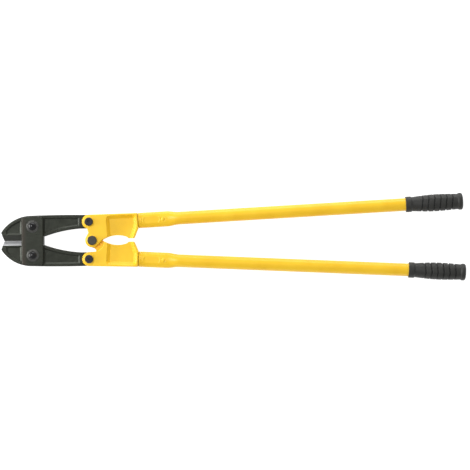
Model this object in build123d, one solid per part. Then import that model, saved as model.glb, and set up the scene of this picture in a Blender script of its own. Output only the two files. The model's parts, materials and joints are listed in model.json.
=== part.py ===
"""Bolt cutters, 36 inch class: two tubular handles work two forged jaws through a linkage of five pivots.

The cutters lie flat and closed. +X runs from the jaws to the grips, +Y is the side of the upper handle, and
+Z points up from the surface they lie on. The origin is on the axis of the centre pivot, level with the
underside of its nut. Every function models its piece about the middle plane of the tool, and save() lifts it
to its height.
"""

import os
from math import atan2, cos, radians, sin

from build123d import *

# Linkage: places of the pivots, measured from the centre pivot on the upper half
JAW_PIVOT = (-115.8, 28.35)
HINGE = (-6.2, 36.5)
HANDLE_SLOPE = 2.86  # degrees between a handle and the middle line
HANDLE_RISE = 33.2  # height of the handle's axis over the centre pivot

# Thickness of each layer, half of it on each side of the middle plane
JAW_HALF = 10.0
TONGUE_HALF = 5.0
SLOT_HALF = 5.1
HEAD_HALF = 12.0
STRAP_THICK = 6.0
STRAP_GAP_HALF = JAW_HALF + 0.05
STRAP_FACE = STRAP_GAP_HALF + STRAP_THICK

# Jaws
NOSE_X = -177.6
NOSE_HALF = 16.1
NOTCH_X = -171.8
EDGE_GAP = 0.1  # from each cutting edge to the middle line
JAW_TOP = 49.3
JAW_BULGE = 50.2
ARC_START_X = -118.0
ARC_R = 71.3
NECK_X = -94.3
TAIL_END_R = 13.2
STEP_R = 14.5  # clear circle round the hinge where the tail thins to a tongue
BEVEL_END_X = -138.0
FACE_BEVEL = 11.5
GROUND_BEVEL = 8.7
EDGE_LAND_HALF = 0.4
BLADE_PANEL_INSET = 5.6
BLADE_PANEL_DEPTH = 2.2
BLADE_PANEL_DRAFT = 52  # degrees, as all drafts
TAIL_PANEL_DEPTH = 2.0
TAIL_PANEL_DRAFT = 52
JAW_EASE = 1.5

# Straps
STRAP_LEFT = -137.0
STRAP_RIGHT = -94.8
STRAP_HALF = 48.0
STRAP_CORNER_R = 9.0
STRAP_EASE = 1.8

# Handle heads
EYE_R = 13.7
BOSS_BASE_R = 11.3
BOSS_TOP_R = 9.3
BOSS_RISE = 1.3
SEAM_X = 89.4
WEB_HALF = 5.0
HEAD_PANEL_DRAFT = 44
HEAD_PANEL_CORNER_R = 7.6
HEAD_EASE = 2.0
STOP_GAP_HALF = 3.3
LENS_TIP_X = 20.2
EYE_SLOT_R = 15.2
TONGUE_R = 13.2
CENTRE_SLOT_R = 17.6
CENTRE_STEP_R = 22.6
OVAL_REACH = 3.9  # how far the open pivot wanders in the lower tongue
OVAL_TURN = 70  # degrees
OVAL_HALF = 6.7

# Tubes and grips, along the handle from the seam
TUBE_R = 12.5
TUBE_WALL = 2.0
OVAL_WIDE_R = 15.0
OVAL_THIN_R = 9.7
OVAL_LENGTH = 56.0
TAPER_LENGTH = 24.0
TAPER_STEPS = 4
TENON_LENGTH = 55.0
TUBE_LENGTH = 630.0
RING_PLACES = (3.7, 7.8)
RING_DEPTH = 0.35
RING_WIDE = 0.9
FLAT_FROM = 11.0
FLAT_TO = 42.0
FLAT_WIDE = 16.0
FLAT_DEPTH = 0.9
RIVET_AT = 48.8
RIVET_R = 3.0
RIVET_HEAD_R = 4.3
RIVET_SEAT = 9.2
RIVET_DOME = 1.7
GRIP_LENGTH = 112.0
UPPER_GRIP_AT = 524.0
LOWER_GRIP_AT = 528.4
GRIP_BORE_DEPTH = 107.0
COLLAR_R = 15.2
COLLAR_LENGTH = 10.0
NECK_R = 13.8
BARREL_R = 16.7
WAIST_R = 15.0
BEAD_R = 16.5
GRIP_TIP_R = 10.0
GRIP_GROOVES = 6
FIRST_GROOVE = 33.4
GROOVE_PITCH = 11.6
GROOVE_WIDE = 2.6
GROOVE_FLOOR_R = 14.8

# Fasteners
JAW_BOLT_R = 6.0
HINGE_BOLT_R = 5.0
CENTRE_BOLT_R = 6.0
PLAY = 0.05  # radial play of a pin in the part that turns on it
FIT = 0.02  # radial play between pieces that do not move on each other
WASHER_R = 11.2
WASHER_THICK = 1.9
DISHED_R = 12.0
DISHED_THICK = 2.6
DISHED_RIM = 0.7
JAW_HEAD_R = 7.9
JAW_HEAD_RIM = 0.9
JAW_HEAD_DOME = 4.4
HINGE_HEAD_R = 8.1
HINGE_HEAD_HIGH = 3.4
SOCKET_ACROSS = 6.0
SOCKET_DEPTH = 2.4
CENTRE_HEAD_R = 9.2
CENTRE_HEAD_HIGH = 3.8
JAW_NUT_ACROSS = 19.0
HINGE_NUT_ACROSS = 16.0
JAW_NUT = 8.0
HINGE_NUT = 8.0
MID_HEIGHT = STRAP_FACE + JAW_NUT
BOSS_FACE = HEAD_HALF + BOSS_RISE
CENTRE_NUT = MID_HEIGHT - BOSS_FACE - WASHER_THICK


def save(name, shape):
    """Lifts a piece to the height of the middle plane and writes it."""
    export_step(Pos(0, 0, MID_HEIGHT) * shape, f"parts/{name}.step")


def slab(outline, low, high):
    """A flat outline as a solid between two heights."""
    return Pos(0, 0, low) * extrude(outline, high - low)


def round_at(place, radius):
    return Pos(*place) * Circle(radius)


def filled(points):
    return make_face(Polyline(*points, close=True))


def eased(outline, hollow_r, corner_r):
    """The outline with its hollow corners and then its outer corners rounded."""
    hollows_round = offset(offset(outline, hollow_r), -hollow_r - corner_r)
    return offset(hollows_round, corner_r)


def dome_arc(radius, low, high):
    """Arc of a ball's top from its rim to the axis, as (radius, height) points."""
    rise = high - low
    ball_r = (radius**2 + rise**2) / (2 * rise)
    half_angle = atan2(radius, ball_r - rise) / 2
    middle = (ball_r * sin(half_angle), high - ball_r * (1 - cos(half_angle)))
    return ThreePointArc((radius, low), middle, (0, high))


def lower_side(shape):
    """The same piece on the lower half of the tool."""
    return mirror(shape, about=Plane.XZ)


def turned_over(shape):
    """The same piece turned over about the middle line."""
    return Rot(180, 0, 0) * shape


# Jaws


def nose_arc_point(angle, inset=0.0):
    """A point on the round back of the blade, by its angle from the start of the arc."""
    reach = ARC_R - inset
    return (ARC_START_X - reach * sin(radians(angle)), JAW_TOP - ARC_R + reach * cos(radians(angle)))


def jaw_outline():
    """Blade, hub and tail of the upper jaw, seen from the front."""
    hinge_x, hinge_y = HINGE
    nose = nose_arc_point(55.2)
    heel = (JAW_PIVOT[0], EDGE_GAP)
    neck = (NECK_X, 8.0)
    tail_top = (hinge_x, hinge_y + TAIL_END_R)
    tail_low = (hinge_x, hinge_y - TAIL_END_R)
    edges = ThreePointArc(nose, nose_arc_point(28), (ARC_START_X, JAW_TOP))
    edges += ThreePointArc((ARC_START_X, JAW_TOP), (-62, JAW_BULGE), tail_top)
    edges += ThreePointArc(tail_top, (hinge_x + TAIL_END_R, hinge_y), tail_low)
    edges += Line(tail_low, (-24, 23.1))
    edges += ThreePointArc((-24, 23.1), (-57, 18.6), neck)
    edges += ThreePointArc(neck, (-104, 2.9), heel)
    edges += Line(heel, (NOTCH_X, EDGE_GAP))
    edges += Line((NOTCH_X, EDGE_GAP), (NOSE_X, NOSE_HALF))
    edges += Line((NOSE_X, NOSE_HALF), nose)
    return make_face(edges)


def blade_bevel(width):
    """Wedge cut from one face along the cutting edge, down to a narrow land."""
    profile = filled(
        [(-5, EDGE_LAND_HALF), (EDGE_GAP, EDGE_LAND_HALF), (width, JAW_HALF), (width, 30), (-5, 30)]
    )
    length = BEVEL_END_X - NOSE_X + 5
    return extrude(Plane((BEVEL_END_X, 0, 0), x_dir=(0, 1, 0), z_dir=(1, 0, 0)) * profile, -length)


def blade_panel(low_edge):
    """Outline of the sunken panel in the blade, inside a rim along the round back."""
    inset = BLADE_PANEL_INSET
    right_x = -138.2
    left_x = -167.5
    arc = ThreePointArc(nose_arc_point(19, inset), nose_arc_point(36, inset), nose_arc_point(50, inset))
    rest = Polyline(arc @ 1, (left_x, low_edge), (right_x, low_edge), (right_x, (arc @ 0).Y - 3), arc @ 0)
    return make_face(arc + rest)


def tail_panel():
    """Outline of the sunken panel in the tail, inside a rim on all sides."""
    edges = Polyline((-25, 28.6), (-25, 44.8), (-94.2, 44.8), (-94.2, 13.3))
    edges += ThreePointArc((-94.2, 13.3), (-57, 24.2), (-25, 28.6))
    return make_face(edges)


def sunk(outline, face, depth, draft):
    """Pocket tool that narrows from a face towards the middle plane."""
    tool = extrude(Pos(0, 0, -face) * outline, depth, taper=draft)
    return mirror(tool, about=Plane.XY)


def jaw():
    """Upper jaw. The broad ground bevel is on its rear face."""
    body = slab(eased(jaw_outline(), 2, 1), -JAW_HALF, JAW_HALF)
    body = fillet(body.edges().group_by(Axis.Z)[-1] + body.edges().group_by(Axis.Z)[0], JAW_EASE)
    body -= blade_bevel(FACE_BEVEL)
    body -= mirror(blade_bevel(GROUND_BEVEL), about=Plane.XY)
    step = Pos(HINGE[0] + 12, HINGE[1]) * Rectangle(40, 60) + round_at(HINGE, STEP_R)
    for low, high in ((TONGUE_HALF, JAW_HALF + 1), (-JAW_HALF - 1, -TONGUE_HALF)):
        body -= slab(step, low, high)
    body -= sunk(blade_panel(12.6), JAW_HALF, BLADE_PANEL_DEPTH, BLADE_PANEL_DRAFT)
    body -= mirror(sunk(blade_panel(10.6), JAW_HALF, BLADE_PANEL_DEPTH, BLADE_PANEL_DRAFT), about=Plane.XY)
    tail = sunk(tail_panel(), JAW_HALF, TAIL_PANEL_DEPTH, TAIL_PANEL_DRAFT)
    body -= tail
    body -= mirror(tail, about=Plane.XY)
    body -= slab(round_at(JAW_PIVOT, JAW_BOLT_R + PLAY), -JAW_HALF, JAW_HALF)
    body -= slab(round_at(HINGE, HINGE_BOLT_R + PLAY), -JAW_HALF, JAW_HALF)
    return body


# Straps


def strap_outline():
    """Side plate over both jaw hubs, following the round backs of the blades on its left."""
    inset = JAW_TOP - STRAP_HALF
    left_top = nose_arc_point(15.75, inset)
    arc_end = nose_arc_point(0, inset)
    corner = (STRAP_RIGHT - STRAP_CORNER_R, STRAP_HALF)
    corner_middle = STRAP_CORNER_R * (1 - cos(radians(45)))
    corner_end = (STRAP_RIGHT, STRAP_HALF - STRAP_CORNER_R)
    edges = Line((STRAP_LEFT, 0), left_top)
    edges += ThreePointArc(left_top, nose_arc_point(8, inset), arc_end)
    edges += Line(arc_end, corner)
    edges += ThreePointArc(corner, (STRAP_RIGHT - corner_middle, STRAP_HALF - corner_middle), corner_end)
    edges += Polyline(corner_end, (STRAP_RIGHT, 0), (STRAP_LEFT, 0))
    half = make_face(edges)
    return half + mirror(half, about=Plane.XZ)


def strap():
    """Front strap, with its outer edge rounded and a hole for each jaw bolt."""
    body = slab(strap_outline(), STRAP_GAP_HALF, STRAP_FACE)
    body = fillet(body.edges().group_by(Axis.Z)[-1], STRAP_EASE)
    for side in (1, -1):
        place = (JAW_PIVOT[0], side * JAW_PIVOT[1])
        body -= slab(round_at(place, JAW_BOLT_R), STRAP_GAP_HALF, STRAP_FACE)
    return body


# Handle heads


def seam_point(across):
    """A point on the seam between casting and tube, measured across the handle from its middle."""
    slope = radians(HANDLE_SLOPE)
    middle = HANDLE_RISE + SEAM_X * sin(slope) / cos(slope)
    return (SEAM_X - across * sin(slope), middle + across * cos(slope))


def head_back():
    """Points of the casting from the hinge eye along its outside and the seam to the lens opening."""
    return [
        (HINGE[0], HINGE[1] + EYE_R),
        seam_point(OVAL_WIDE_R),
        seam_point(-OVAL_WIDE_R),
        (82.8, STOP_GAP_HALF + 1.5),
        (81, STOP_GAP_HALF),
        (71, STOP_GAP_HALF),
        (67.5, 6.2),
    ]


def lens_edge():
    """Round inner edge of the casting beside the lens opening."""
    return ThreePointArc((67.5, 6.2), (47, 9.3), (LENS_TIP_X, 0.5))


def upper_head_outline():
    eye_low = (HINGE[0] - 3.5, HINGE[1] - EYE_R + 0.5)
    knuckle_side = [(LENS_TIP_X, 0.5), (9.3, -10.1), (0, 0), (-12, 6.6), (-7.4, 14.8), eye_low, HINGE]
    body = make_face(Polyline(*head_back()) + lens_edge() + Polyline(*knuckle_side, head_back()[0]))
    return body + round_at(HINGE, EYE_R) + Circle(EYE_R)


def lower_head_outline():
    """Full-thickness outline of the lower casting, given on the upper side before it is mirrored."""
    inside = [(LENS_TIP_X, 0.5), (7.1, 21.9), (HINGE[0], HINGE[1] - EYE_R), HINGE]
    body = make_face(Polyline(*head_back()) + lens_edge() + Polyline(*inside, head_back()[0]))
    return body + round_at(HINGE, EYE_R) - Circle(CENTRE_STEP_R)


def centre_tongue():
    """Thin tongue of the lower casting that sits between the ears of the upper one."""
    lower_left = [(-3.4, 12.7), (3.4, 15.3), (6.8, 18.2), (7.6, 21.6), (7.3, 24)]
    neck = filled([(0, 0), *lower_left, (30, 24), (30, 8), (LENS_TIP_X, 0.5), (TONGUE_R, 0.5)])
    return Circle(TONGUE_R) + neck


def head_panel():
    """Sunken panel between the rim and the lens opening, open towards the opening."""
    outline = filled([(28.8, 12), (30.4, -14), (77, -14), (79.8, 4), (87.2, 26), (86, 49.9), (26.4, 48)])
    return fillet(outline.vertices(), HEAD_PANEL_CORNER_R)


def boss(place):
    """Flat-topped cones round a pivot, one on each face, with the casting between them."""
    cone = Pos(0, 0, HEAD_HALF + BOSS_RISE / 2) * Cone(BOSS_BASE_R, BOSS_TOP_R, BOSS_RISE)
    core = slab(Circle(BOSS_TOP_R), -HEAD_HALF, HEAD_HALF)
    return Pos(*place) * (cone + mirror(cone, about=Plane.XY) + core)


def head_body(outline):
    """Casting with rounded edges, sunken panels, hinge bosses and a tenon for the tube."""
    body = slab(eased(outline, 3, 1.5), -HEAD_HALF, HEAD_HALF)
    body = fillet(body.edges().group_by(Axis.Z)[-1] + body.edges().group_by(Axis.Z)[0], HEAD_EASE)
    panel = sunk(head_panel(), HEAD_HALF, HEAD_HALF - WEB_HALF, HEAD_PANEL_DRAFT)
    body -= panel
    body -= mirror(panel, about=Plane.XY)
    body += boss(HINGE)
    body -= slab(round_at(HINGE, HINGE_BOLT_R + FIT), -BOSS_FACE, BOSS_FACE)
    return body + along_handle(tenon())


def hinge_slot():
    """Gap between the ears that hold the jaw's tail."""
    cut = round_at(HINGE, EYE_SLOT_R) + Pos(HINGE[0] - 20, HINGE[1] + 8) * Rectangle(40, 42)
    return slab(cut, -SLOT_HALF, SLOT_HALF)


def upper_head():
    body = head_body(upper_head_outline()) - hinge_slot()
    gap = Circle(CENTRE_SLOT_R) + Pos(10, -10) * Rectangle(60, 21)
    body += boss((0, 0))
    body -= slab(gap, -SLOT_HALF, SLOT_HALF)
    return body - slab(Circle(CENTRE_BOLT_R + FIT), -BOSS_FACE, BOSS_FACE)


def lower_head():
    """Lower casting. The hole in its tongue is an oval, because the linkage is opened at this pivot."""
    body = head_body(lower_head_outline()) - hinge_slot()
    body += slab(centre_tongue(), -TONGUE_HALF, TONGUE_HALF)
    turn = radians(OVAL_TURN)
    middle = Pos(OVAL_REACH / 2 * cos(turn), OVAL_REACH / 2 * sin(turn))
    oval = middle * SlotCenterToCenter(OVAL_REACH, 2 * OVAL_HALF, rotation=OVAL_TURN)
    return lower_side(body - slab(oval, -TONGUE_HALF, TONGUE_HALF))


# Tubes and grips, modelled along +X from the seam and then laid along the handle


def along_handle(shape):
    return Pos(*seam_point(0)) * Rot(0, 0, HANDLE_SLOPE) * shape


def oval_rod(wide_r, thin_r, start, length):
    return extrude(Plane.YZ.offset(start) * Ellipse(wide_r, thin_r), length)


def tenon():
    """Oval tongue of the casting inside the tube, drilled for the rivet."""
    wide_r = OVAL_WIDE_R - TUBE_WALL - FIT
    thin_r = OVAL_THIN_R - TUBE_WALL - FIT
    rod = oval_rod(wide_r, thin_r, -1, TENON_LENGTH + 1)
    return rod - Pos(RIVET_AT, 0, 0) * Cylinder(RIVET_R + FIT, 40)


def tube_shape(inset):
    """Outside of a tube, or its inside for an inset of one wall: oval, taper and round."""
    wide_r = OVAL_WIDE_R - inset
    thin_r = OVAL_THIN_R - inset
    round_r = TUBE_R - inset
    sections = []
    for step in range(TAPER_STEPS + 1):
        blend = (1 - cos(radians(180 * step / TAPER_STEPS))) / 2
        place = Plane.YZ.offset(OVAL_LENGTH + TAPER_LENGTH * step / TAPER_STEPS)
        across_r = wide_r + (round_r - wide_r) * blend
        high_r = thin_r + (round_r - thin_r) * blend
        sections.append(place * Ellipse(across_r, high_r))
    round_start = OVAL_LENGTH + TAPER_LENGTH
    straight = extrude(Plane.YZ.offset(round_start) * Circle(round_r), TUBE_LENGTH - round_start)
    return oval_rod(wide_r, thin_r, 0, OVAL_LENGTH) + loft(sections) + straight


def tube():
    """Handle tube with two rings by the seam, a pressed flat on each face and seats for the rivet."""
    body = tube_shape(0) - tube_shape(TUBE_WALL)
    for place in RING_PLACES:
        ring = oval_rod(OVAL_WIDE_R + 1, OVAL_THIN_R + 1, place, RING_WIDE)
        body -= ring - oval_rod(OVAL_WIDE_R - RING_DEPTH, OVAL_THIN_R - RING_DEPTH, place, RING_WIDE)
    pressed = Pos((FLAT_FROM + FLAT_TO) / 2, 0) * SlotOverall(FLAT_TO - FLAT_FROM, FLAT_WIDE)
    flat = slab(pressed, OVAL_THIN_R - FLAT_DEPTH, TUBE_R)
    seat = slab(round_at((RIVET_AT, 0), RIVET_HEAD_R + 0.2), RIVET_SEAT, TUBE_R)
    for tool in (flat, seat):
        body -= tool
        body -= mirror(tool, about=Plane.XY)
    return body - Pos(RIVET_AT, 0, 0) * Cylinder(RIVET_R + FIT, 40)


def tube_rivet():
    """Rivet with a low dome on each face of the tube."""
    dome_top = RIVET_SEAT + RIVET_DOME
    edges = Polyline((0, 0), (RIVET_R, 0), (RIVET_R, RIVET_SEAT), (RIVET_HEAD_R, RIVET_SEAT))
    edges += dome_arc(RIVET_HEAD_R, RIVET_SEAT, dome_top)
    edges += Line((0, dome_top), (0, 0))
    half = revolve(Plane.XZ * make_face(edges), Axis.Z)
    return Pos(RIVET_AT, 0, 0) * (half + mirror(half, about=Plane.XY))


def grip():
    """Ribbed sleeve: collar, swelling barrel with ring grooves, end bead and closed end."""
    bore_r = TUBE_R + FIT
    bead_end = GRIP_LENGTH - 3.5
    neck = (COLLAR_LENGTH + 2.5, NECK_R)
    tip = (GRIP_LENGTH, GRIP_TIP_R)
    edges = Polyline((0, bore_r), (0, COLLAR_R - 0.6), (0.6, COLLAR_R), (COLLAR_LENGTH, COLLAR_R), neck)
    edges += ThreePointArc(neck, (58, BARREL_R), (101.5, WAIST_R))
    edges += Polyline((101.5, WAIST_R), (104, BEAD_R), (bead_end, BEAD_R))
    edges += ThreePointArc((bead_end, BEAD_R), (GRIP_LENGTH - 1, 14), tip)
    edges += Polyline(tip, (GRIP_LENGTH, 0), (GRIP_BORE_DEPTH, 0), (GRIP_BORE_DEPTH, bore_r), (0, bore_r))
    body = revolve(make_face(edges), Axis.X)
    for groove in range(GRIP_GROOVES):
        middle = FIRST_GROOVE + groove * GROOVE_PITCH
        ring = Plane.YZ.offset(middle - GROOVE_WIDE / 2) * (Circle(20) - Circle(GROOVE_FLOOR_R))
        body -= extrude(ring, GROOVE_WIDE)
    return body


# Fasteners, modelled about their own axis at their height


def turned(points):
    """A solid of revolution about Z from (radius, height) points."""
    return revolve(Plane.XZ * filled(points), Axis.Z)


def washer(bolt_r, low):
    """Flat washer with a chamfer on its upper rim."""
    bore_r = bolt_r + FIT
    high = low + WASHER_THICK
    rim = [(WASHER_R, low), (WASHER_R, high - 1), (WASHER_R - 1, high)]
    return turned([(bore_r, low), *rim, (bore_r, high)])


def dished_washer():
    """Washer under a jaw bolt's head, sloping from the head's rim down to a thin edge."""
    bore_r = JAW_BOLT_R + FIT
    high = STRAP_FACE + DISHED_THICK
    rim = [(DISHED_R, STRAP_FACE), (DISHED_R, STRAP_FACE + DISHED_RIM), (JAW_HEAD_R, high)]
    return turned([(bore_r, STRAP_FACE), *rim, (bore_r, high)])


def nut(bolt_r, across_flats, low, thick):
    """Hexagon nut with its corners eased on both faces."""
    corner_r = across_flats / 2 / cos(radians(30))
    high = low + thick
    face_r = corner_r - 1.2
    side = [(face_r, low), (corner_r, low + 0.7), (corner_r, high - 0.7), (face_r, high)]
    hexagon = slab(RegularPolygon(across_flats / 2, 6, major_radius=False), low, high)
    return (hexagon & turned([(0, low), *side, (0, high)])) - slab(Circle(bolt_r + FIT), low, high)


def jaw_bolt():
    """Bolt through both straps and a jaw, with a domed head on the washer."""
    seat = STRAP_FACE + DISHED_THICK
    dome_low = seat + JAW_HEAD_RIM
    dome_top = dome_low + JAW_HEAD_DOME
    edges = Polyline((0, -MID_HEIGHT), (JAW_BOLT_R, -MID_HEIGHT), (JAW_BOLT_R, seat), (JAW_HEAD_R, seat))
    edges += Line((JAW_HEAD_R, seat), (JAW_HEAD_R, dome_low))
    edges += dome_arc(JAW_HEAD_R, dome_low, dome_top)
    edges += Line((0, dome_top), (0, -MID_HEIGHT))
    return revolve(Plane.XZ * make_face(edges), Axis.Z)


def headed_pin(pin_r, low, head_r, head_high, chamfer):
    """Plain pin from a low end to the boss face, with a flat chamfered head on the boss."""
    top = BOSS_FACE + head_high
    shank = [(0, low), (pin_r, low), (pin_r, BOSS_FACE)]
    return turned([*shank, (head_r, BOSS_FACE), (head_r, top - chamfer), (head_r - chamfer, top), (0, top)])


def hinge_bolt():
    """Socket-headed pin through the eye of a handle head and the tail of a jaw."""
    top = BOSS_FACE + HINGE_HEAD_HIGH
    pin = headed_pin(HINGE_BOLT_R, -BOSS_FACE - HINGE_NUT, HINGE_HEAD_R, HINGE_HEAD_HIGH, 0.8)
    return pin - slab(RegularPolygon(SOCKET_ACROSS / 2, 6, major_radius=False), top - SOCKET_DEPTH, top)


def centre_bolt():
    """Plain-headed bolt of the centre pivot."""
    return headed_pin(CENTRE_BOLT_R, -MID_HEIGHT, CENTRE_HEAD_R, CENTRE_HEAD_HIGH, 1.2)


os.makedirs("parts", exist_ok=True)

upper_jaw = jaw()
front_strap = strap()
save("upper_jaw", upper_jaw)
save("lower_jaw", turned_over(upper_jaw))
save("front_strap", front_strap)
save("rear_strap", turned_over(front_strap))

at_jaw = Pos(*JAW_PIVOT)
at_hinge = Pos(*HINGE)
handle_tube = along_handle(tube())
rivet = along_handle(tube_rivet())
one_grip = grip()
pairs = {
    "jaw_bolt": at_jaw * jaw_bolt(),
    "jaw_washer": at_jaw * dished_washer(),
    "jaw_nut": at_jaw * nut(JAW_BOLT_R, JAW_NUT_ACROSS, -MID_HEIGHT, JAW_NUT),
    "hinge_bolt": at_hinge * hinge_bolt(),
    "hinge_nut": at_hinge * nut(HINGE_BOLT_R, HINGE_NUT_ACROSS, -BOSS_FACE - HINGE_NUT, HINGE_NUT),
    "tube": handle_tube,
    "tube_rivet": rivet,
}
for name, piece in pairs.items():
    save(f"upper_{name}", piece)
    save(f"lower_{name}", lower_side(piece))

save("upper_handle_head", upper_head())
save("lower_handle_head", lower_head())
save("centre_bolt", centre_bolt())
save("centre_washer", washer(CENTRE_BOLT_R, -BOSS_FACE - WASHER_THICK))
save("centre_nut", nut(CENTRE_BOLT_R, JAW_NUT_ACROSS, -MID_HEIGHT, CENTRE_NUT))
save("upper_grip", along_handle(Pos(UPPER_GRIP_AT, 0, 0) * one_grip))
save("lower_grip", lower_side(along_handle(Pos(LOWER_GRIP_AT, 0, 0) * one_grip)))
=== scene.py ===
import json
import math

import bmesh
import bpy
from mathutils import Matrix, Vector


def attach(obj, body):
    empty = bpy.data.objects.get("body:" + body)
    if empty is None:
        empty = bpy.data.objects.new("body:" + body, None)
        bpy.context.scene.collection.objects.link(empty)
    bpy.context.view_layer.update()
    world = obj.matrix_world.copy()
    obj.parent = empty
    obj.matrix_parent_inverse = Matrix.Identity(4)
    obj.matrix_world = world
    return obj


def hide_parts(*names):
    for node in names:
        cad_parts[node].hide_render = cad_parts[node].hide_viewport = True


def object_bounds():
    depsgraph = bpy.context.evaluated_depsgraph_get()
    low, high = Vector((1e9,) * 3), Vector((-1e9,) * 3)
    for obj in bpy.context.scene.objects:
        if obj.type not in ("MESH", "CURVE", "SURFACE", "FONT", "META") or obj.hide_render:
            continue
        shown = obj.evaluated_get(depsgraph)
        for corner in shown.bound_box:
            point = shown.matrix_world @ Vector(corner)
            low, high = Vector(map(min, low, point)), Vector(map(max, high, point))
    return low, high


# Looks of the bolt cutters: a material for each kind of part, and detailed tubes and grips.
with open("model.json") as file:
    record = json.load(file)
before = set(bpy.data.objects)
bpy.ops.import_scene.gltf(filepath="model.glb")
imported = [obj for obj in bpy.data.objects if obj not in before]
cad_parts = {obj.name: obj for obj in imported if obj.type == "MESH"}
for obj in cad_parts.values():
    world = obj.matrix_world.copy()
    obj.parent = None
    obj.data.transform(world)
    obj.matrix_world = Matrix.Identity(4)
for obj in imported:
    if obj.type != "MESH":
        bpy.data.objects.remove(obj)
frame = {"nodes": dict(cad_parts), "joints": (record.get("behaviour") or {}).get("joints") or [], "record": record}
cad_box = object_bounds()
nodes = frame["nodes"]
MM = 0.001
SHARP_ANGLE = math.radians(38)  # between faces that meet in a hard edge
LOW, HIGH = (Vector(corner) for corner in cad_box)
JAW_JOINT = next(joint for joint in frame["joints"] if joint["name"] == "upper_jaw_opening")
MID_Z = JAW_JOINT["pos_m"][2]  # middle plane of the tool
SIDES = ("upper", "lower")

# Handles, in mm, with places along the handle from its seam with the casting
HANDLE_SLOPE = math.radians(2.86)
TUBE_R = 12.5
TUBE_WALL = 2.0
OVAL_WIDE_R = 15.0
OVAL_THIN_R = 9.7
OVAL_END = 56.0
TAPER_END = 80.0
INNER_TAPER_PLACES = (74.0, 68.0, 62.0)
SEAM_GAP = 0.7
LIP = ((0.0, 0.7), (0.08, 0.4), (0.25, 0.16), (0.6, 0.02))  # places past the gap, and their insets
LIP_END = 0.9
RING_PLACES = (4.15, 8.25)
RING_HALF = 0.75
RING_FLOOR_HALF = 0.15
RING_DEPTH = 0.4
RINGS_END = 10.0
FLAT_MIDDLE = 26.5
FLAT_HALF_LENGTH = 7.5  # of its straight part
FLAT_END_R = 8.0
FLAT_HEIGHT = 8.8
FLAT_WALL_SLOPE = 1.1
FLAT_WALL_WITHIN = 0.4  # how far inside the flat's outline its wall begins
RIVET_AT = 48.8
RIVET_SEAT_R = 4.6
RIVET_SEAT_HEIGHT = 9.2
RIVET_SEAT_SLOPE = 1.2
RIM_DEPTH = 0.2  # of the tube's end that shows where its middle line is
TUBE_SEGMENTS = 112
RINGS_STEP = 0.25
OVAL_STEP = 0.5
TAPER_STEP = 1.5
STRAIGHT_STEP = 25.0

# Grips, in mm, with places along the grip from its collar
GRIP_LENGTH = 112.0
GRIP_FIT = 0.05
GRIP_BORE_DEPTH = 107.0
BORE_MIDDLE = 60.0
BORE_CHAMFER = 0.3
BORE_CHAMFER_DEPTH = 2.0
BORE_CAP_R = 2.0
COLLAR_R = 15.2
COLLAR_LIP = 0.7
COLLAR_LIP_START = -0.4
COLLAR_LIP_END = 0.9
COLLAR_END = 9.5
NECK_R = 13.85
NECK_AT = 13.0
BARREL_R = 16.7
BARREL_AT = 58.0
WAIST_R = 15.0
WAIST_AT = 101.0
BEAD_R = 16.5
BEAD_START = 104.5
BEAD_END = 108.0
GRIP_TIP_R = 10.0
TIP_DISH = ((0.25, GRIP_TIP_R - 1.2), (0.3, 3.0))  # depth and radius
GROOVES = 6
FIRST_GROOVE = 33.9
GROOVE_PITCH = 11.7
GROOVE_DEPTH = 1.7
GROOVE_FLOOR_HALF = 0.6
GROOVE_TOP_HALF = 1.45
GROOVED_FROM = 27.0
GROOVED_TO = 98.0
CHEVRON = 4.0  # how far a groove falls back from the mould seam to a quarter turn away
SEAM_RIDGE = 0.22
SEAM_RIDGE_HALF = 0.7
GRIP_SEGMENTS = 144
COLLAR_ROWS = (0.0, 0.15, 0.35, 0.6, 0.9)
# start, end and step of the rows of points along the grip
GRIP_ROWS = ((1.4, 9, 1), (9, 14, 0.4), (14, 27, 1), (27, 100, 0.33), (100, BEAD_END, 0.4))
TIP_ROWS = 10
GRIP_ROLL = {"upper": math.radians(31), "lower": math.radians(-10)}  # of the mould seam, from the top

# Steel, with lengths in metres
BEVEL_END_X = -137.9 * MM
GROUND_BEVEL = 9.3 * MM
FACE_BEVEL = 12.0 * MM
BEVEL_SLANT = 0.4  # least sideways part of a bevel's normal
TENON_FROM = 0.05 * MM  # past the seam
REFLECTED_BROWN_FROM_X = -126.5 * MM
REFLECTED_BROWN_TO_X = -133.5 * MM
STEEL_SPECULAR = 0.43
STEEL_TINT = (0.94, 1.0, 0.86, 1.0)

# Floor and camera, with lengths in metres
FLOOR_HALF = 30.0
CAMERA_HEIGHT = 4.6  # above the middle plane of the tool
CAMERA_X = 0.2787
CAMERA_Y = 0.0076
CAMERA_ROLL = math.radians(-0.58)
PICTURE_WIDTH = 0.9189  # in the middle plane of the tool


# Mesh helpers


def smoothstep(value, start, end):
    """0 up to start, 1 from end on, with a smooth rise between."""
    share = min(max((value - start) / (end - start), 0.0), 1.0)
    return share * share * (3 - 2 * share)


def spaced(start, end, step):
    """Evenly spaced places from start up to, but not at, end."""
    count = max(1, round((end - start) / step))
    return [start + (end - start) * index / count for index in range(count)]


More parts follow.
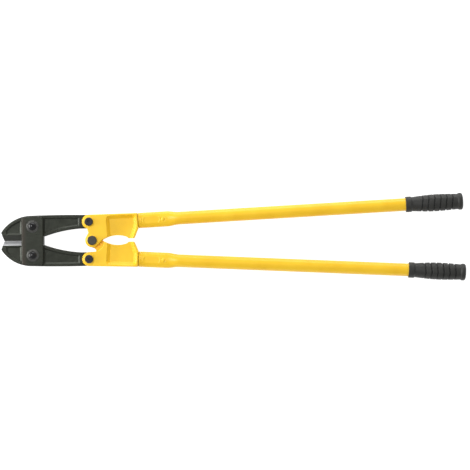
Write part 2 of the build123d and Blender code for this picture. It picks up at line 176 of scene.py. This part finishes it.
def skinned(name, rings, loop, matrix):
    """A mesh through rings of points in mm. A loop joins its last ring to its first, others are capped."""
    mesh = bmesh.new()
    rows = [[mesh.verts.new(matrix @ (Vector(point) * MM)) for point in ring] for ring in rings]
    pairs = list(zip(rows, rows[1:])) + ([(rows[-1], rows[0])] if loop else [])
    for first, second in pairs:
        for index in range(len(first)):
            after = (index + 1) % len(first)
            mesh.faces.new((first[index], first[after], second[after], second[index]))
    ends = () if loop else (rows[0], rows[-1])
    for row in ends:
        middle = mesh.verts.new(sum((vert.co for vert in row), Vector()) / len(row))
        for index in range(len(row)):
            mesh.faces.new((row[index], row[(index + 1) % len(row)], middle))
    bmesh.ops.recalc_face_normals(mesh, faces=mesh.faces)
    data = bpy.data.meshes.new(name)
    mesh.to_mesh(data)
    mesh.free()
    data.shade_smooth()
    data.set_sharp_from_angle(angle=SHARP_ANGLE)
    piece = bpy.data.objects.new(name, data)
    bpy.context.scene.collection.objects.link(piece)
    return piece


def handle_matrix(side):
    """From handle coordinates, with x along from the seam, y across and z up, to the shared frame."""
    turn = HANDLE_SLOPE if side == "upper" else -HANDLE_SLOPE
    along = Vector((math.cos(turn), math.sin(turn), 0))
    across = Vector((-math.sin(turn), math.cos(turn), 0))
    points = [vert.co for vert in nodes[f"{side}_tube"].data.vertices]
    seam = min(point.dot(along) for point in points)
    rim = [point.dot(across) for point in points if point.dot(along) < seam + RIM_DEPTH * MM]
    origin = along * seam + across * (min(rim) + max(rim)) / 2 + Vector((0, 0, MID_Z))
    basis = Matrix((along, across, (0, 0, 1))).transposed()
    return Matrix.Translation(origin) @ basis.to_4x4()


def grip_start(side, matrix):
    """Where the grip's collar begins, in mm from the seam."""
    inverse = matrix.inverted()
    return min((inverse @ vert.co).x for vert in nodes[f"{side}_grip"].data.vertices) / MM


# Tubes


def tube_radii(place):
    """Outer radii across and in height: oval over the tenon, then tapering to round."""
    blend = (1 - math.cos(math.pi * min(max((place - OVAL_END) / (TAPER_END - OVAL_END), 0), 1))) / 2
    return OVAL_WIDE_R + (TUBE_R - OVAL_WIDE_R) * blend, OVAL_THIN_R + (TUBE_R - OVAL_THIN_R) * blend


def pressed_height(place, across):
    """Height of the dies that press the flat and the rivet's seat into each face of the tube."""
    beyond = max(abs(place - FLAT_MIDDLE) - FLAT_HALF_LENGTH, 0)
    from_flat = math.hypot(beyond, across) - FLAT_END_R
    flat = FLAT_HEIGHT + FLAT_WALL_SLOPE * max(from_flat + FLAT_WALL_WITHIN, 0)
    from_seat = math.hypot(place - RIVET_AT, across) - RIVET_SEAT_R
    seat = RIVET_SEAT_HEIGHT + RIVET_SEAT_SLOPE * max(from_seat, 0)
    return min(flat, seat)


def tube_ring(place, inset):
    """Points round the tube, inset from its outer surface, with the pressed shapes on the outer wall."""
    wide_r, thin_r = (radius - inset for radius in tube_radii(place))
    points = []
    for index in range(TUBE_SEGMENTS):
        angle = 2 * math.pi * index / TUBE_SEGMENTS
        across = wide_r * math.cos(angle)
        height = thin_r * math.sin(angle)
        if inset < TUBE_WALL and place < OVAL_END:
            limit = pressed_height(place, across)
            height = math.copysign(min(abs(height), limit), height)
        points.append((place, across, height))
    return points


def ring_groove(place):
    """Depth of the rolled rings at a place."""
    shares = (1 - smoothstep(abs(place - ring), RING_FLOOR_HALF, RING_HALF) for ring in RING_PLACES)
    return RING_DEPTH * max(shares)


def tube_length(side):
    """Length of the CAD tube along the handle, in mm."""
    inverse = handle_matrix(side).inverted()
    return max((inverse @ vert.co).x for vert in nodes[f"{side}_tube"].data.vertices) / MM


def tube(side):
    """Tube with a rounded end at the seam, two rolled rings, and pressed flats and seats for the rivet."""
    length = tube_length(side)
    rings = [tube_ring(SEAM_GAP + place, inset) for place, inset in LIP]
    places = spaced(SEAM_GAP + LIP_END, RINGS_END, RINGS_STEP) + spaced(RINGS_END, OVAL_END, OVAL_STEP)
    places += spaced(OVAL_END, TAPER_END, TAPER_STEP) + spaced(TAPER_END, length, STRAIGHT_STEP) + [length]
    rings += [tube_ring(place, ring_groove(place)) for place in places]
    inner_places = (length, TAPER_END, *INNER_TAPER_PLACES, OVAL_END, SEAM_GAP)
    rings += [tube_ring(place, TUBE_WALL) for place in inner_places]
    return skinned(f"{side}_handle_tube", rings, True, handle_matrix(side))


# Grips


def grip_radius(place):
    """Radius of the grip without its grooves."""
    if place < COLLAR_END:
        return COLLAR_R - COLLAR_LIP * (1 - smoothstep(place, COLLAR_LIP_START, COLLAR_LIP_END))
    if place < NECK_AT:
        return COLLAR_R + (NECK_R - COLLAR_R) * smoothstep(place, COLLAR_END, NECK_AT)
    if place < BARREL_AT:
        swell = math.sin(math.pi / 2 * (place - NECK_AT) / (BARREL_AT - NECK_AT))
        return NECK_R + (BARREL_R - NECK_R) * swell
    if place < WAIST_AT:
        fall = 1 - math.cos(math.pi / 2 * (place - BARREL_AT) / (WAIST_AT - BARREL_AT))
        return BARREL_R - (BARREL_R - WAIST_R) * fall
    if place < BEAD_END:
        return WAIST_R + (BEAD_R - WAIST_R) * smoothstep(place, WAIST_AT, BEAD_START)
    share = (place - BEAD_END) / (GRIP_LENGTH - BEAD_END)
    return GRIP_TIP_R + (BEAD_R - GRIP_TIP_R) * math.sqrt(max(1 - share * share, 0))


def grip_cut(place, from_seam):
    """Depth of the grooves at a place, for an angle from the nearest mould seam."""
    swept = place + CHEVRON * from_seam / (math.pi / 2)
    nearest = round((swept - FIRST_GROOVE) / GROOVE_PITCH)
    middle = FIRST_GROOVE + min(max(nearest, 0), GROOVES - 1) * GROOVE_PITCH
    return GROOVE_DEPTH * (1 - smoothstep(abs(swept - middle), GROOVE_FLOOR_HALF, GROOVE_TOP_HALF))


def grip_ring(start, place, radius, roll, grooved):
    """Points round the grip, whose mould seams are turned by roll from its top and underside."""
    points = []
    for index in range(GRIP_SEGMENTS):
        angle = 2 * math.pi * index / GRIP_SEGMENTS
        turned = abs(math.remainder(angle, 2 * math.pi))
        from_seam = min(turned, math.pi - turned)
        ring_r = radius
        if grooved:
            ridge = SEAM_RIDGE * math.exp(-((from_seam * radius / SEAM_RIDGE_HALF) ** 2))
            ring_r += ridge - grip_cut(place, from_seam)
        points.append((start + place, ring_r * math.sin(angle + roll), ring_r * math.cos(angle + roll)))
    return points


def grip(side):
    """Ribbed sleeve: collar, swelling barrel cut by chevron grooves, end bead and closed tip."""
    matrix = handle_matrix(side)
    start = grip_start(side, matrix)
    roll = GRIP_ROLL[side]
    bore_r = TUBE_R + GRIP_FIT
    bore = [(GRIP_BORE_DEPTH, BORE_CAP_R)]
    bore += [(place, bore_r) for place in (GRIP_BORE_DEPTH, BORE_MIDDLE, BORE_CHAMFER_DEPTH)]
    bore += [(0, bore_r + BORE_CHAMFER)]
    rings = [grip_ring(start, place, radius, roll, False) for place, radius in bore]
    places = list(COLLAR_ROWS)
    for row_span in GRIP_ROWS:
        places += spaced(*row_span)
    for row in range(TIP_ROWS):
        turned = math.pi / 2 * row / (TIP_ROWS - 1)
        places.append(BEAD_END + (GRIP_LENGTH - BEAD_END) * math.sin(turned))
    for place in places:
        rings.append(grip_ring(start, place, grip_radius(place), roll, GROOVED_FROM < place < GROOVED_TO))
    for depth, radius in TIP_DISH:
        rings.append(grip_ring(start, GRIP_LENGTH - depth, radius, roll, False))
    return skinned(f"{side}_ribbed_grip", rings, False, matrix)


# Material helpers


def new_material(name):
    material = bpy.data.materials.new(name)
    material.use_nodes = True
    tree = material.node_tree
    return material, tree, tree.nodes["Principled BSDF"]


def plug(tree, value, socket):
    """Links a socket, or sets a number or a colour."""
    if isinstance(value, bpy.types.NodeSocket):
        tree.links.new(value, socket)
    elif isinstance(value, tuple):
        socket.default_value = (*value, 1.0)
    else:
        socket.default_value = value


def calc(tree, operation, first, second=0.0):
    """One math node on sockets or numbers."""
    node = tree.nodes.new("ShaderNodeMath")
    node.operation = operation
    plug(tree, first, node.inputs[0])
    plug(tree, second, node.inputs[1])
    return node.outputs[0]


def product(tree, *factors):
    result = factors[0]
    for factor in factors[1:]:
        result = calc(tree, "MULTIPLY", result, factor)
    return result


def object_place(tree):
    """Object coordinates: metres in the shared frame, which stay with a piece as it moves."""
    return tree.nodes.new("ShaderNodeTexCoord").outputs["Object"]


def parts_of(tree, vector):
    """The x, y and z sockets of a vector."""
    node = tree.nodes.new("ShaderNodeSeparateXYZ")
    plug(tree, vector, node.inputs[0])
    return node.outputs


def noise(tree, place, scale, detail=4.0, roughness=0.55, stretch=None):
    """Noise of a scale per metre, multiplied along each axis by stretch."""
    if stretch:
        mapping = tree.nodes.new("ShaderNodeMapping")
        mapping.inputs["Scale"].default_value = stretch
        plug(tree, place, mapping.inputs["Vector"])
        place = mapping.outputs[0]
    node = tree.nodes.new("ShaderNodeTexNoise")
    node.inputs["Scale"].default_value = scale
    node.inputs["Detail"].default_value = detail
    node.inputs["Roughness"].default_value = roughness
    plug(tree, place, node.inputs["Vector"])
    return node.outputs["Fac"]


def ramp(tree, factor, *stops):
    """Colour ramp through (position, colour) stops."""
    node = tree.nodes.new("ShaderNodeValToRGB")
    elements = node.color_ramp.elements
    for index, (position, colour) in enumerate(stops):
        element = elements[index] if index < 2 else elements.new(position)
        element.position = position
        element.color = (*colour, 1.0)
    plug(tree, factor, node.inputs["Fac"])
    return node.outputs["Color"]


def spread(tree, value, from_low, from_high, to_low, to_high):
    """Maps a range of values onto another, clamped to its ends."""
    node = tree.nodes.new("ShaderNodeMapRange")
    limits = {"From Min": from_low, "From Max": from_high, "To Min": to_low, "To Max": to_high}
    for name, number in limits.items():
        node.inputs[name].default_value = number
    plug(tree, value, node.inputs["Value"])
    return node.outputs["Result"]


def mix(tree, factor, first, second):
    """Blends from the first colour to the second by a factor."""
    node = tree.nodes.new("ShaderNodeMix")
    node.data_type = "RGBA"
    plug(tree, factor, node.inputs["Factor"])
    colours = [socket for socket in node.inputs if socket.type == "RGBA"]
    plug(tree, first, colours[0])
    plug(tree, second, colours[1])
    return next(socket for socket in node.outputs if socket.type == "RGBA")


def edges_of(tree, radius, start, end):
    """1 on the convex and concave edges of the piece, 0 on its faces."""
    bevel = tree.nodes.new("ShaderNodeBevel")
    bevel.samples = 6
    bevel.inputs["Radius"].default_value = radius
    dot = tree.nodes.new("ShaderNodeVectorMath")
    dot.operation = "DOT_PRODUCT"
    plug(tree, bevel.outputs["Normal"], dot.inputs[0])
    plug(tree, tree.nodes.new("ShaderNodeNewGeometry").outputs["Normal"], dot.inputs[1])
    return spread(tree, dot.outputs["Value"], start, end, 0.0, 1.0)


def bump(tree, shader, *layers):
    """Chained bump layers of (height, strength, depth in metres)."""
    normal = None
    for height, strength, depth in layers:
        node = tree.nodes.new("ShaderNodeBump")
        node.inputs["Strength"].default_value = strength
        node.inputs["Distance"].default_value = depth
        plug(tree, height, node.inputs["Height"])
        if normal:
            plug(tree, normal, node.inputs["Normal"])
        normal = node.outputs["Normal"]
    plug(tree, normal, shader.inputs["Normal"])


# Materials


def paint(name, grain_depth, shaded_seam):
    """Yellow enamel with slight changes of tone, thin on edges, over the grain of what it covers."""
    material, tree, shader = new_material(name)
    place = object_place(tree)
    tone = noise(tree, place, 24, 5)
    tones = ((0.3, (0.9, 0.525, 0.006)), (0.5, (0.95, 0.575, 0.01)), (0.72, (0.98, 0.615, 0.016)))
    coat = ramp(tree, tone, *tones)
    patches = spread(tree, noise(tree, place, 160, 6), 0.4, 0.65, 0.15, 0.7)
    rubbed = product(tree, edges_of(tree, 0.9 * MM, 0.985, 0.86), patches)
    coat = mix(tree, rubbed, coat, (0.98, 0.66, 0.09))
    specks = noise(tree, place, 900, 2, 0.5)
    coat = mix(tree, spread(tree, specks, 0.7, 0.78, 0.0, 0.35), coat, (0.55, 0.27, 0.01))
    gloss = spread(tree, noise(tree, place, 60, 4), 0.3, 0.7, 0.36, 0.46)
    # Painted shade: past the seam the casting is darkened to near black, so the gap between tube and casting looks
    # shaded.
    if shaded_seam:
        inside = seam_shade_mask(tree, place)
        coat = mix(tree, inside, coat, (0.03, 0.024, 0.01))
    plug(tree, coat, shader.inputs["Base Color"])
    plug(tree, gloss, shader.inputs["Roughness"])
    shader.inputs["Coat Weight"].default_value = 0.1
    shader.inputs["Coat Roughness"].default_value = 0.25
    peel = noise(tree, place, 420, 3, 0.5)
    grain = noise(tree, place, 170, 5, 0.6)
    bump(tree, shader, (peel, 0.25, 0.12 * MM), (grain, 0.45, grain_depth))
    return material


def seam_shade_mask(tree, place):
    """1 past the seam, inside the tubes and in the seam gaps, where painted shade darkens the paint."""
    along, across, _ = parts_of(tree, place)
    seam = handle_matrix("upper").translation
    off_seam = calc(tree, "SUBTRACT", calc(tree, "ABSOLUTE", across), seam.y)
    rise = product(tree, off_seam, math.sin(HANDLE_SLOPE))
    run = product(tree, calc(tree, "SUBTRACT", along, seam.x), math.cos(HANDLE_SLOPE))
    return calc(tree, "GREATER_THAN", calc(tree, "ADD", run, rise), TENON_FROM)


def forged(name):
    """Black forged steel with its scale, and the bright ground bevel on one face of each jaw."""
    material, tree, shader = new_material(name)
    place = object_place(tree)
    along, across, up = parts_of(tree, place)
    facing = parts_of(tree, tree.nodes.new("ShaderNodeTexCoord").outputs["Normal"])
    mottle = noise(tree, place, 45, 7, 0.62)
    tones = ((0.32, (0.007, 0.0078, 0.0056)), (0.52, (0.0115, 0.0128, 0.009)), (0.7, (0.018, 0.02, 0.0145)))
    black = ramp(tree, mottle, *tones)
    rust = noise(tree, place, 140, 5, 0.7)
    black = mix(tree, spread(tree, rust, 0.64, 0.8, 0.0, 0.25), black, (0.045, 0.034, 0.024))
    patches = spread(tree, noise(tree, place, 110, 6, 0.7), 0.38, 0.66, 0.05, 0.45)
    worn = product(tree, edges_of(tree, 0.8 * MM, 0.985, 0.86), patches)
    black = mix(tree, worn, black, (0.12, 0.118, 0.11))
    off_edge = calc(tree, "ABSOLUTE", across)
    front = calc(tree, "SUBTRACT", up, MID_Z)
    blade = calc(tree, "LESS_THAN", along, BEVEL_END_X)
    tilted = calc(tree, "GREATER_THAN", calc(tree, "ABSOLUTE", facing[1]), BEVEL_SLANT)
    ground_side = calc(tree, "LESS_THAN", product(tree, across, front), 0.0)
    other_side = calc(tree, "SUBTRACT", 1.0, ground_side)
    ground = product(tree, blade, tilted, ground_side, calc(tree, "LESS_THAN", off_edge, GROUND_BEVEL))
    stoned = product(tree, blade, tilted, other_side, calc(tree, "LESS_THAN", off_edge, FACE_BEVEL))
    marks = noise(tree, place, 1.0, 4, 0.6, (1900, 150, 150))
    steel = ramp(tree, marks, (0.3, (0.46, 0.465, 0.48)), (0.7, (0.6, 0.605, 0.62)))
    colour = mix(tree, ground, mix(tree, stoned, black, (0.028, 0.0285, 0.025)), steel)
    plug(tree, colour, shader.inputs["Base Color"])
    plug(tree, product(tree, ground, 0.45), shader.inputs["Metallic"])
    dull = spread(tree, noise(tree, place, 90, 5), 0.3, 0.7, 0.28, 0.38)
    fine = spread(tree, marks, 0.3, 0.7, 0.34, 0.46)
    kept = product(tree, dull, calc(tree, "SUBTRACT", 1.0, ground))
    plug(tree, calc(tree, "ADD", kept, product(tree, fine, ground)), shader.inputs["Roughness"])
    shader.inputs["Specular IOR Level"].default_value = STEEL_SPECULAR
    shader.inputs["Specular Tint"].default_value = STEEL_TINT
    rough = calc(tree, "SUBTRACT", 1.0, calc(tree, "ADD", ground, stoned))
    pits = product(tree, rough, noise(tree, place, 230, 6, 0.65))
    waves = product(tree, rough, noise(tree, place, 36, 3, 0.5))
    bump(tree, shader, (pits, 0.5, 0.25 * MM), (waves, 0.45, 0.7 * MM))
    return material


def plate(name):
    """Blackened rolled plate of the straps, with a faint brown tint towards the blades that is a painted
    reflection.
    """
    material, tree, shader = new_material(name)
    place = object_place(tree)
    along, _, _ = parts_of(tree, place)
    rolled = noise(tree, place, 1.0, 5, 0.6, (70, 240, 70))
    black = ramp(tree, rolled, (0.3, (0.0095, 0.0105, 0.0075)), (0.7, (0.0155, 0.017, 0.0125)))
    # Painted reflection: a faint brown tint laid on the strap towards the blades.
    towards_blades = spread(tree, along, REFLECTED_BROWN_FROM_X, REFLECTED_BROWN_TO_X, 0.0, 0.8)
    tint = product(tree, towards_blades, spread(tree, noise(tree, place, 60, 3), 0.3, 0.7, 0.6, 1.0))
    black = mix(tree, tint, black, (0.036, 0.023, 0.0195))
    patches = spread(tree, noise(tree, place, 120, 6, 0.7), 0.36, 0.64, 0.15, 0.6)
    worn = product(tree, edges_of(tree, 0.8 * MM, 0.985, 0.88), patches)
    plug(tree, mix(tree, worn, black, (0.11, 0.108, 0.1)), shader.inputs["Base Color"])
    plug(tree, spread(tree, rolled, 0.3, 0.7, 0.27, 0.36), shader.inputs["Roughness"])
    shader.inputs["Specular IOR Level"].default_value = STEEL_SPECULAR
    shader.inputs["Specular Tint"].default_value = STEEL_TINT
    scratches = noise(tree, place, 1.0, 3, 0.5, (90, 1500, 90))
    bump(tree, shader, (noise(tree, place, 300, 5), 0.35, 0.13 * MM), (scratches, 0.12, 0.1 * MM))
    return material


def oxide(name, dark, light, roughness, metallic, gloss=0.5):
    """Blackened steel of a fastener, rubbed brighter on its edges."""
    material, tree, shader = new_material(name)
    place = object_place(tree)
    colour = ramp(tree, noise(tree, place, 150, 5), (0.3, dark), (0.7, light))
    patches = spread(tree, noise(tree, place, 260, 4), 0.35, 0.65, 0.1, 0.6)
    worn = product(tree, edges_of(tree, 0.4 * MM, 0.98, 0.86), patches)
    plug(tree, mix(tree, worn, colour, (0.15, 0.148, 0.14)), shader.inputs["Base Color"])
    polish = spread(tree, noise(tree, place, 300, 4), 0.3, 0.7, roughness - 0.05, roughness + 0.07)
    plug(tree, polish, shader.inputs["Roughness"])
    shader.inputs["Metallic"].default_value = metallic
    shader.inputs["Specular IOR Level"].default_value = gloss
    bump(tree, shader, (noise(tree, place, 650, 3), 0.2, 0.025 * MM))
    return material


def rubber(name):
    """Black moulded rubber: lands of varied tone and roughness, grooves darkened by painted shade, and a fine
    grain.
    """
    material, tree, shader = new_material(name)
    place = object_place(tree)
    tone = noise(tree, place, 70, 5)
    colour = ramp(tree, tone, (0.3, (0.015, 0.0153, 0.0135)), (0.7, (0.026, 0.0265, 0.0235)))
    # Painted shade: ambient occlusion darkens the grooves and other hollows towards near black.
    groove_shade_occlusion = tree.nodes.new("ShaderNodeAmbientOcclusion")
    groove_shade_occlusion.samples = 8
    groove_shade_occlusion.inputs["Distance"].default_value = 3 * MM
    depth = spread(tree, groove_shade_occlusion.outputs["AO"], 0.55, 0.95, 0.85, 0.0)
    colour = mix(tree, depth, colour, (0.003, 0.003, 0.003))
    plug(tree, colour, shader.inputs["Base Color"])
    plug(tree, spread(tree, noise(tree, place, 220, 4), 0.3, 0.7, 0.48, 0.62), shader.inputs["Roughness"])
    grain = noise(tree, place, 850, 3)
    waves = noise(tree, place, 90, 3)
    bump(tree, shader, (grain, 0.35, 0.1 * MM), (waves, 0.2, 0.2 * MM))
    return material


SLOT_MATERIALS = {
    "painted_casting": paint("painted_casting", 0.32 * MM, True),
    "painted_tube": paint("painted_tube", 0.08 * MM, False),
    "forged_jaw": forged("forged_jaw"),
    "blackened_plate": plate("blackened_plate"),
    "bolt_steel": oxide("bolt_steel", (0.006, 0.006, 0.0065), (0.012, 0.012, 0.0125), 0.2, 0.0, 0.32),
    "nut_steel": oxide("nut_steel", (0.03, 0.03, 0.03), (0.05, 0.05, 0.05), 0.36, 0.6),
    "grip_rubber": rubber("grip_rubber"),
}
NODE_MATERIALS = {
    "centre_bolt": oxide("centre_bolt_steel", (0.036, 0.034, 0.027), (0.055, 0.052, 0.042), 0.5, 0.2),
    "upper_hinge_bolt": oxide("hinge_bolt_steel", (0.01, 0.009, 0.014), (0.022, 0.02, 0.032), 0.33, 0.2),
}
NODE_MATERIALS["lower_hinge_bolt"] = NODE_MATERIALS["upper_hinge_bolt"]
WASHER_STEEL = oxide("washer_steel", (0.09, 0.09, 0.085), (0.15, 0.15, 0.142), 0.3, 0.85)
NODE_MATERIALS["upper_jaw_washer"] = NODE_MATERIALS["lower_jaw_washer"] = WASHER_STEEL


def dress_frame():
    """Gives each CAD node its material."""
    for subpart in frame["record"]["subparts"]:
        node = subpart["node"]
        mesh = nodes[node].data
        mesh.materials.clear()
        mesh.materials.append(NODE_MATERIALS.get(node, SLOT_MATERIALS[subpart["material_slot"]]))


def handle_pieces():
    """The detailed tube and grip of each handle, in place of the CAD ones."""
    for side in SIDES:
        details = ((tube(side), "tube", "painted_tube"), (grip(side), "grip", "grip_rubber"))
        for piece, part, slot in details:
            piece.data.materials.append(SLOT_MATERIALS[slot])
            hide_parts(f"{side}_{part}")
            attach(piece, f"{side}_handle")


# Floor, light and camera


def floor():
    """Plain white floor, wide enough to fill low views."""
    signs = ((-1, -1), (1, -1), (1, 1), (-1, 1))
    corners = [(x * FLOOR_HALF, y * FLOOR_HALF, LOW.z) for x, y in signs]
    mesh = bpy.data.meshes.new("floor")
    mesh.from_pydata(corners, [], [(0, 1, 2, 3)])
    material, _, shader = new_material("floor_white")
    shader.inputs["Base Color"].default_value = (0.36, 0.36, 0.36, 1)
    shader.inputs["Roughness"].default_value = 0.9
    shader.inputs["Specular IOR Level"].default_value = 0.1
    shader.inputs["Emission Color"].default_value = (1, 1, 1, 1)
    shader.inputs["Emission Strength"].default_value = 0.95
    mesh.materials.append(material)
    plane = bpy.data.objects.new("floor", mesh)
    bpy.context.scene.collection.objects.link(plane)


def softbox(name, offset, size, power):
    """Rectangular light that faces the middle of the tool."""
    middle = (LOW + HIGH) / 2
    lamp = bpy.data.lights.new(name, "AREA")
    lamp.shape = "RECTANGLE"
    lamp.size, lamp.size_y = size
    lamp.energy = power
    lamp_object = bpy.data.objects.new(name, lamp)
    lamp_object.location = middle + Vector(offset)
    lamp_object.rotation_euler = (-Vector(offset)).to_track_quat("-Z", "Y").to_euler()
    lamp_object.visible_camera = False
    bpy.context.scene.collection.objects.link(lamp_object)


def studio():
    """Soft tent light from all round, and three softboxes."""
    world = bpy.data.worlds.new("studio")
    world.use_nodes = True
    tree = world.node_tree
    direction = parts_of(tree, tree.nodes.new("ShaderNodeTexCoord").outputs["Generated"])
    tent = ramp(tree, direction[2], (0.0, (0.58, 0.58, 0.58)), (0.7, (0.5, 0.5, 0.5)))
    plug(tree, tent, tree.nodes["Background"].inputs["Color"])
    scene = bpy.context.scene
    scene.world = world
    scene.view_settings.view_transform = "Standard"
    softbox("key", (-1.33, 0.62, 2.26), (1.0, 1.0), 31)
    softbox("left", (-2.6, 0.2, 0.5), (2.0, 0.9), 45)
    softbox("back", (0.1, 2.6, 0.45), (2.6, 0.8), 28)


def camera():
    """Straight above the tool, turned a little so that its middle line rises to the right."""
    data = bpy.data.cameras.new("camera")
    data.sensor_width = 36
    data.lens = data.sensor_width * CAMERA_HEIGHT / PICTURE_WIDTH
    data.clip_end = 50
    view = bpy.data.objects.new("camera", data)
    view.location = (CAMERA_X, CAMERA_Y, MID_Z + CAMERA_HEIGHT)
    view.rotation_euler = (0, 0, CAMERA_ROLL)
    bpy.context.scene.collection.objects.link(view)
    bpy.context.scene.camera = view


dress_frame()
handle_pieces()
floor()
studio()
camera()
